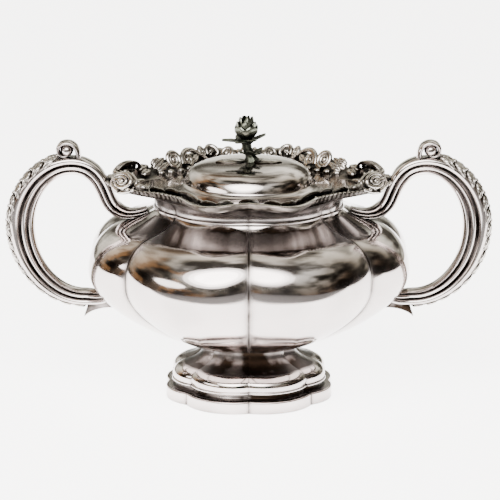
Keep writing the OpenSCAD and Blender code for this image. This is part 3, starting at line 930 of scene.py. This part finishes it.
def spur():
    """Spur that props the handle's lower end, and the leaf it grows from."""
    solid = Solid()
    count = 48
    lower = chain([[82.4, 39.7], [79, 42.9], [72, 44.9], [64, 43.5], [61.5, 43], [59, 42], [56.8, 40.6]], 20)
    under = along_path(lower, count)
    over = along_path([[82.5, 40.1], [81.5, 43], [80.6, 46.2], [78, 48.2], [73.4, 51.4], [70.4, 52.2], [67, 48.8],
                       [64.2, 46.4], [61.2, 44], [57.2, 41.2]], count)
    rows, hollow = [], []
    for i in range(count):
        half = SPUR_HALF_Y * (0.55 + 0.45 * math.sin(math.pi * min(1.0, 0.12 + 1.1 * i / count)) ** 0.5)
        row, deep = [], []
        for a in ring(24):
            mix = 0.5 + 0.5 * squared_off(math.sin(a), 0.6)
            p = under[i] + (over[i] - under[i]) * mix
            row.append((p[0], half * squared_off(math.cos(a), 0.5), p[1]))
            # Painted shade and dark reflection: the whole spur is darkened, most on its upper side.
            deep.append(1.0 + 0.4 * mix)
        rows.append(row)
        hollow.append(deep)
    solid.grid(rows, hollow)
    rows, hollow = [], []
    line = np.array([chain(BELLY_UNDER, 50)[k] for k in np.round(np.linspace(40, 17, 61)).astype(int)])
    line = along_path(line, 61)
    across = np.linspace(-1, 1, 25)
    for i, (r, z) in enumerate(line):
        t = i / 60
        w = float(np.interp(t * 9, range(10), BELLY_LEAF_WIDTHS)) * (1 + 0.10 * abs(math.sin(5 * math.pi * t)))
        row, deep = [], []
        for f in across:
            vein = bump(f, 0.10) + 0.6 * max(0, math.cos(2 * math.pi * (5 * t + 1.4 * abs(f)))) ** 6 * abs(f)
            rise = BELLY_LEAF_T * (1 - 0.55 * f * f) - 0.5 * vein
            row.append(polar(lobed(r + rise, w * f, z), w * f, z))
            # Painted shade in the veins and at the edges of the leaf; its underside rows are darkened too.
            deep.append(vein + 1.3 * abs(f) ** 5)
        for f in across[::-1]:
            angle = w * f * 0.94
            row.append(polar(lobed(r - 0.2, angle, z), angle, z))
            deep.append(0.8)
        rows.append(row)
        hollow.append(deep)
    solid.grid(rows, hollow)
    return solid


def handles():
    parts = (("handle", handle_bar(), POLISHED, "polished_silver", 60),
             ("handle_leaf", handle_leaf(), CAST, "cast_silver", 50),
             ("handle_curl", thumb_curl(), POLISHED, "polished_silver", 60),
             ("handle_spur", spur(), POLISHED, "polished_silver", 50))
    for side, x in (("right", 1), ("left", -1)):
        for name, shape, material, slot, sharp in parts:
            shape.mirrored(x=x).piece(f"{name}_{side}_worked", material, "bowl", f"{name}_{side}", slot, sharp)


# ---- lid ----

def turned(profile, segments, wobble=0.0):
    """Round rows of points from a list of (radius, height)."""
    rows = []
    for r, z in profile:
        row = []
        for a in ring(segments):
            x, y = r * math.cos(a), r * math.sin(a)
            shift = hand_wobble((x, y, z), wobble, 13.0) if wobble else 0
            row.append((x, y, z + shift))
        rows.append(row)
    return rows


def lid_cover():
    dome = chain([
        [LID_R - 0.3, LID_Z + 0.6], [LID_R - 5, LID_Z + 0.8], [DOME_R + 1.6, LID_Z + 0.6],
        [DOME_R, LID_Z + 2.8], [DOME_R - 1.6, DOME_Z - 3], [27, DOME_Z],
        [1.9, DOME_Z]
    ], 34)
    edge = [(LID_R - 0.8, LID_Z), (LID_R - 0.3, LID_Z + 0.02), (LID_R, LID_Z + 0.22), (LID_R, LID_Z + 0.48)]
    section = np.vstack([edge, dome, offset_path(dome, SHEET)[::-1]])
    solid = Solid()
    solid.grid(turned(section, 160, 0.14), loop=True)
    solid.piece("lid_dome", POLISHED, "lid", "lid_cover", "polished_silver", 60)


def lid_fittings():
    """The ring under the lid, and the washer and nut that hold the finial."""
    low, high = corners("lid_bezel")
    r = high[0]
    bezel = Solid()
    wall = [(r - BEZEL_T, low[2] + 0.2), (r - BEZEL_T + 0.2, low[2]), (r - 0.2, low[2]), (r, low[2] + 0.2),
            (r, high[2]), (r - BEZEL_T, high[2])]
    bezel.grid(turned(wall, 128, 0.05), loop=True)
    bezel.piece("lid_ring", POLISHED, "lid", "lid_bezel", "polished_silver", 40)
    low, high = corners("finial_washer")
    r, hole = high[0], STUD_R + 0.1
    washer = Solid()
    washer.grid(turned([(hole, high[2]), (r - 0.3, high[2] - 0.16), (r, high[2] - 0.3), (r, low[2] + 0.15),
                        (r - 0.2, low[2]), (hole, low[2])], 64), loop=True)
    washer.piece("finial_dished_washer", POLISHED, "lid", "finial_washer", "polished_silver", 30)
    low, high = corners("finial_nut")
    flat_r = high[1]
    rows = []
    for z, inset in ((low[2], 0.35), (low[2] + 0.3, 0), (high[2] - 0.3, 0), (high[2], 0.35)):
        row = []
        for a in ring(60):
            reach = min(flat_r / math.cos((a + math.pi / 6) % (math.pi / 3) - math.pi / 6), high[0] - inset)
            row.append((reach * math.cos(a), reach * math.sin(a), z))
        rows.append(row)
    for z in (high[2], low[2]):
        rows += turned([(STUD_R + 0.02, z)], 60)
    nut = Solid()
    nut.grid(rows, loop=True)
    nut.piece("finial_hex_nut", POLISHED, "lid", "finial_nut", "polished_silver", 25)


# ---- finial ----

def petal(solid, heading, z0, height, r_foot, r_mid, r_tip, half_angle):
    """Curved petal that cups the middle of the flower and rolls out at its tip."""
    thick = 0.55
    rows = []
    for i in range(11):
        t = i / 10
        r = (1 - t) ** 2 * r_foot + 2 * (1 - t) * t * r_mid * 1.25 + t * t * r_tip
        width = half_angle * math.sin(math.pi * (0.18 + 0.70 * t)) ** 0.7
        outer, inner = [], []
        for f in np.linspace(-1, 1, 9):
            a = heading + width * f
            tip = height * t * (1 - 0.10 * f * f) + z0
            ruffle = 0.22 * math.sin(5 * f + 3 * heading) * t
            outer.append(((r + ruffle) * math.cos(a), (r + ruffle) * math.sin(a), tip))
        for f in np.linspace(1, -1, 9):
            a = heading + width * f * 0.94
            tip = height * t * (1 - 0.10 * f * f) + z0
            inner.append(((r - thick) * math.cos(a), (r - thick) * math.sin(a), tip - 0.1))
        rows.append(outer + inner)
    # Painted shade inside each petal and at its foot, fading towards the tip.
    hollow = [[0.55 * (1 - i / 10)] * 9 + [0.9] * 9 for i in range(11)]
    solid.grid([[(p[0] + FINIAL_X, p[1], p[2]) for p in row] for row in rows], hollow)


def finial_flower():
    solid = Solid()
    height = FINIAL_TOP - FLOWER_Z
    core = [(1.2, 0), (2.6, 1.2), (3.0, 3.5), (2.8, 7), (1.9, 9.8), (0.5, height - 0.4)]
    # Painted shade on the flower's core inside the petals.
    solid.grid([[(p[0] + FINIAL_X, p[1], p[2] + FLOWER_Z) for p in row] for row in turned(core, 20)],
               [[0.8] * 20] * len(core))
    rings = ((5, 0.2, 0.4, 7.2, 2.2, 5.6, 5.6, 0.78), (5, 0.85, 1.6, 8.0, 2.4, 4.9, 4.6, 0.76),
             (4, 0.3, 2.8, height - 3.2, 2.4, 4.0, 3.2, 0.85), (3, 0.9, 3.6, height - 3.7, 1.6, 2.6, 1.9, 1.0))
    for count, turn, z0, tall, foot_r, mid_r, tip_r, spread in rings:
        for k in range(count):
            petal(solid, turn + 2 * math.pi * k / count, FLOWER_Z + z0, tall, foot_r, mid_r, tip_r, spread)
    solid.piece("finial_flower_petals", OXIDISED, "lid", "finial_flower", "oxidised_silver", 40)


def standing_leaf(solid, heading, length, rise, root, width):
    """Leaf that stands out level, with a raised midrib."""
    c, s = math.cos(math.radians(heading)), math.sin(math.radians(heading))
    rows, hollow = [], []
    for i in range(13):
        t = 0.02 + 0.96 * i / 12
        reach = 1.5 + (length - 1.5) * t
        w = width * math.sin(math.pi * (0.14 + 0.82 * t)) ** 0.8 * (0.88 + 0.14 * abs(math.sin(4 * math.pi * t)))
        z = root[2] + rise * t
        row, deep = [], []
        for f in np.linspace(-1, 1, 9):
            lift = 0.55 * (1 - abs(f)) + 0.5 * abs(f) ** 2
            row.append((root[0] + reach * c - w * f * s, root[1] + reach * s + w * f * c, z + lift))
            # Painted shade along the midrib and towards the edges; the underside rows are fully darkened.
            deep.append(0.7 * bump(f, 0.2) + 0.3 * abs(f))
        for f in np.linspace(1, -1, 9):
            row.append((root[0] + reach * c - w * f * s, root[1] + reach * s + w * f * c,
                        z - 0.6 + 0.5 * abs(f) ** 2))
            deep.append(1)
        rows.append(row)
        hollow.append(deep)
    solid.grid(rows, hollow)


def finial_leaves():
    solid = Solid()
    root = (FINIAL_X, 0, FLOWER_Z - 0.8)
    cup = [(1.9, -2.2), (2.4, -1.2), (3.6, -0.2), (4.4, 0.9), (4.2, 1.5), (2.0, 1.7)]
    # Painted shade on the cup under the leaves.
    solid.grid([[(p[0] + root[0], p[1], p[2] + root[2]) for p in row] for row in turned(cup, 24)],
               [[0.6] * 24] * len(cup))
    for heading, length, rise in ((172, 12.4, 0.4), (8, 9.8, 3.4), (120, 9, 1.5), (235, 9, 1), (300, 8, 2)):
        standing_leaf(solid, heading, length, rise, root, 3.1)
    low_root = (1.0, 0, DOME_Z + 3.4)
    for heading, length, rise in ((30, 6.8, 2.4), (205, 6.6, 2.0), (262, 6.2, 2.6), (320, 6.4, 1.4),
                                  (110, 6.5, 2.2)):
        standing_leaf(solid, heading, length, rise, low_root, 1.9)
    solid.piece("finial_calyx_leaves", OXIDISED, "lid", "finial_calyx", "oxidised_silver", 50)


def dome_height(x):
    return DOME_Z - DOME_SAG * x * x


def finial_base():
    """Leaves lying on the dome under the stalk."""
    solid = Solid()

    def on_dome(u, v, h):
        return u, v, dome_height(math.hypot(u, v)) + h

    for side in (-1, 1):
        leaf(solid, on_dome, (side * 1.2, -1.5), (side * 16.8, -1.5), 4.6, 1.3, lift=0.35, scallops=2, groove=0.4)
    solid.piece("finial_dome_leaves", CAST, "lid", "finial_base_leaves", "cast_silver", 50)


def finial_stem():
    solid = Solid()
    path = chain([[1.8, DOME_Z + 0.05], [1.6, DOME_Z + 3.5], [FINIAL_X, DOME_Z + 3], [FINIAL_X, FLOWER_Z]], 24)
    rows, hollow = [], []
    for i, (x, z) in enumerate(path):
        t = i / (len(path) - 1)
        r = 2.5 + 1.7 * (1 - min(1, t / 0.42)) ** 2
        row = []
        for a in ring(24):
            ribbed = r * (1 + 0.07 * math.cos(6 * a + 3 * t))
            row.append((x + ribbed * math.cos(a), ribbed * math.sin(a), z))
        rows.append(row)
        # Painted shade in the grooves between the stalk's ribs.
        hollow.append([0.35 - 0.35 * math.cos(6 * a + 3 * t) for a in ring(24)])
    solid.grid(rows, hollow)
    stud_low, stud_high = corners("finial_stem")[0][2], DOME_Z + 0.4
    pitch, sides = 0.5, 20
    rows = []
    count = int((stud_high - stud_low) / pitch * 6)
    for i in range(count):
        z = stud_low + (stud_high - stud_low) * i / (count - 1)
        row = []
        for a in ring(sides):
            r = STUD_R - 0.07 + 0.07 * math.sin(2 * math.pi * z / pitch - a)
            row.append((r * math.cos(a), r * math.sin(a), z))
        rows.append(row)
    # Painted shade over the threaded stud.
    solid.grid(rows, [[0.3] * sides] * count)
    solid.piece("finial_stalk", OXIDISED, "lid", "finial_stem", "oxidised_silver", 50)


body_shell()
neck()
rim_plate()
rim_castings()
foot()
handles()
lid_cover()
lid_fittings()
finial_flower()
finial_leaves()
finial_base()
finial_stem()


# ---- floor, light and camera ----

def lit_sheet(name, corner_a, corner_b, z, dark_share):
    """Level sheet that glows softly, and falls away to dark towards the camera by dark_share."""
    (x0, y0), (x1, y1) = corner_a, corner_b
    mesh = bpy.data.meshes.new(name)
    mesh.from_pydata([(x0, y0, z), (x1, y0, z), (x1, y1, z), (x0, y1, z)], [], [(0, 1, 2, 3)])
    mat = bpy.data.materials.new(name)
    mat.use_nodes = True
    tree, links = mat.node_tree, mat.node_tree.links
    shader = tree.nodes["Principled BSDF"]
    place = add_node(tree, "ShaderNodeTexCoord")
    split = add_node(tree, "ShaderNodeSeparateXYZ")
    links.new(place.outputs["Object"], split.inputs["Vector"])
    near = add_node(tree, "ShaderNodeMapRange",
                    {"From Min": -0.30, "From Max": -0.215, "To Min": 1 - dark_share, "To Max": 1.0})
    near.interpolation_type = "SMOOTHSTEP"
    links.new(split.outputs["Y"], near.inputs["Value"])
    tone = add_node(tree, "ShaderNodeMix")
    tone.data_type = "RGBA"
    tone.inputs["A"].default_value = (0.0, 0.0, 0.0, 1)
    tone.inputs["B"].default_value = (0.95, 0.94, 0.935, 1)
    links.new(near.outputs["Result"], tone.inputs["Factor"])
    links.new(tone.outputs["Result"], shader.inputs["Base Color"])
    links.new(tone.outputs["Result"], shader.inputs["Emission Color"])
    shader.inputs["Emission Strength"].default_value = 5.5
    shader.inputs["Roughness"].default_value = 0.7
    mesh.materials.append(mat)
    sheet = bpy.data.objects.new(name, mesh)
    bpy.context.scene.collection.objects.link(sheet)
    return sheet


def table():
    """Pale floor, and a dark card lying in front that only the silver mirrors."""
    lit_sheet("pale_floor", (-3, -3), (3, 3), 0, 0)
    card = lit_sheet("dark_card", (-3, -3), (3, -0.21), 0.0004, 0.95)
    card.visible_camera = False
    card.visible_diffuse = False
    card.visible_shadow = False


def soft_light(name, place, target, size, power, color):
    data = bpy.data.lights.new(name, "AREA")
    data.shape = "ELLIPSE"
    data.size, data.size_y = size
    data.energy = power
    data.color = color
    lamp = bpy.data.objects.new(name, data)
    lamp.location = place
    lamp.rotation_euler = (Vector(target) - Vector(place)).to_track_quat("-Z", "Y").to_euler()
    bpy.context.scene.collection.objects.link(lamp)


def room():
    """Dim room over the table, which the silver mirrors: grey overhead in front, brown low down and behind."""
    world = bpy.data.worlds.new("room")
    bpy.context.scene.world = world
    world.use_nodes = True
    tree, links = world.node_tree, world.node_tree.links
    place = add_node(tree, "ShaderNodeTexCoord")

    def toward(direction):
        node = add_node(tree, "ShaderNodeVectorMath")
        node.operation = "DOT_PRODUCT"
        node.inputs[1].default_value = Vector(direction).normalized()
        links.new(place.outputs["Generated"], node.inputs[0])
        return node.outputs["Value"]

    def ramp(value, stops):
        node = add_node(tree, "ShaderNodeValToRGB")
        elements = node.color_ramp.elements
        elements[0].position, elements[0].color = stops[0][0], (*stops[0][1], 1)
        elements[1].position, elements[1].color = stops[-1][0], (*stops[-1][1], 1)
        for position, color in stops[1:-1]:
            stop = elements.new(position)
            stop.color = (*color, 1)
        links.new(value, node.inputs["Fac"])
        return node.outputs["Color"]

    def patches(scale, seed):
        stretch = add_node(tree, "ShaderNodeMapping", {"Scale": (1.0, 1.0, 1.5), "Location": (seed, 0.4, 0.7)})
        links.new(place.outputs["Generated"], stretch.inputs["Vector"])
        tex = add_node(tree, "ShaderNodeTexNoise", {"Scale": scale, "Detail": 4.0})
        links.new(stretch.outputs["Vector"], tex.inputs["Vector"])
        return tex.outputs["Fac"]

    def blend(kind, factor, a, b):
        node = add_node(tree, "ShaderNodeMix")
        node.data_type = "RGBA"
        node.blend_type = kind
        node.inputs["Factor"].default_value = 1.0
        if factor is not None:
            links.new(factor, node.inputs["Factor"])
        links.new(a, node.inputs["A"])
        links.new(b, node.inputs["B"])
        return node.outputs["Result"]

    front = ramp(toward((0, -0.5, 0.85)), ((0.0, (0.03, 0.021, 0.014)), (0.35, (0.08, 0.058, 0.04)),
                                           (0.7, (0.22, 0.21, 0.18)), (0.95, (0.75, 0.75, 0.71))))
    rear = ramp(toward((0, 0.9, 0.45)), ((0.25, (0.0, 0.0, 0.0)), (0.6, (0.28, 0.27, 0.22)),
                                         (0.95, (0.8, 0.8, 0.7))))
    dark_and_pale = ramp(patches(2.3, 3.1), ((0.40, (0.12, 0.11, 0.10)), (0.5, (0.8, 0.8, 0.78)),
                                             (0.60, (2.6, 2.6, 2.6))))
    mottled = blend("MULTIPLY", None, blend("ADD", None, front, rear), dark_and_pale)
    wood = ramp(patches(1.5, 7.7), ((0.50, (0.0, 0.0, 0.0)), (0.55, (0.45, 0.24, 0.10)),
                                    (0.66, (0.55, 0.33, 0.16))))
    left = ramp(toward((-0.85, -0.25, 0.35)), ((0.1, (0.0, 0.0, 0.0)), (0.6, (0.45, 0.45, 0.45)),
                                               (0.9, (1.0, 1.0, 1.0))))
    back = tree.nodes["Background"]
    links.new(blend("ADD", left, mottled, wood), back.inputs["Color"])
    back.inputs["Strength"].default_value = 1.0


table()
room()
for share, power in ((0.6, 7.0), (0.8, 12.0), (1.0, 16.0)):
    soft_light(f"window_{share}", (-0.17, -0.9 - 0.01 * share, 0.93), (0, 0, 0.08),
               (1.45 * share, 1.2 * share), power, (1.0, 0.99, 0.97))
soft_light("side_left", (-1.05, -0.6, 0.45), (0, 0, 0.06), (0.9, 0.28), 4, (1.0, 0.98, 0.96))

AIM = Vector((0.0006, 0, 0.0733))
CAMERA_DISTANCE = 1.497
CAMERA_RISE = math.radians(14.4)
camera_data = bpy.data.cameras.new("camera")
camera_data.lens = 215.6
camera_data.sensor_width = 36
camera = bpy.data.objects.new("camera", camera_data)
camera.location = AIM + CAMERA_DISTANCE * Vector((0, -math.cos(CAMERA_RISE), math.sin(CAMERA_RISE)))
camera.rotation_euler = (AIM - camera.location).to_track_quat("-Z", "Y").to_euler()
bpy.context.scene.collection.objects.link(camera)
bpy.context.scene.camera = camera
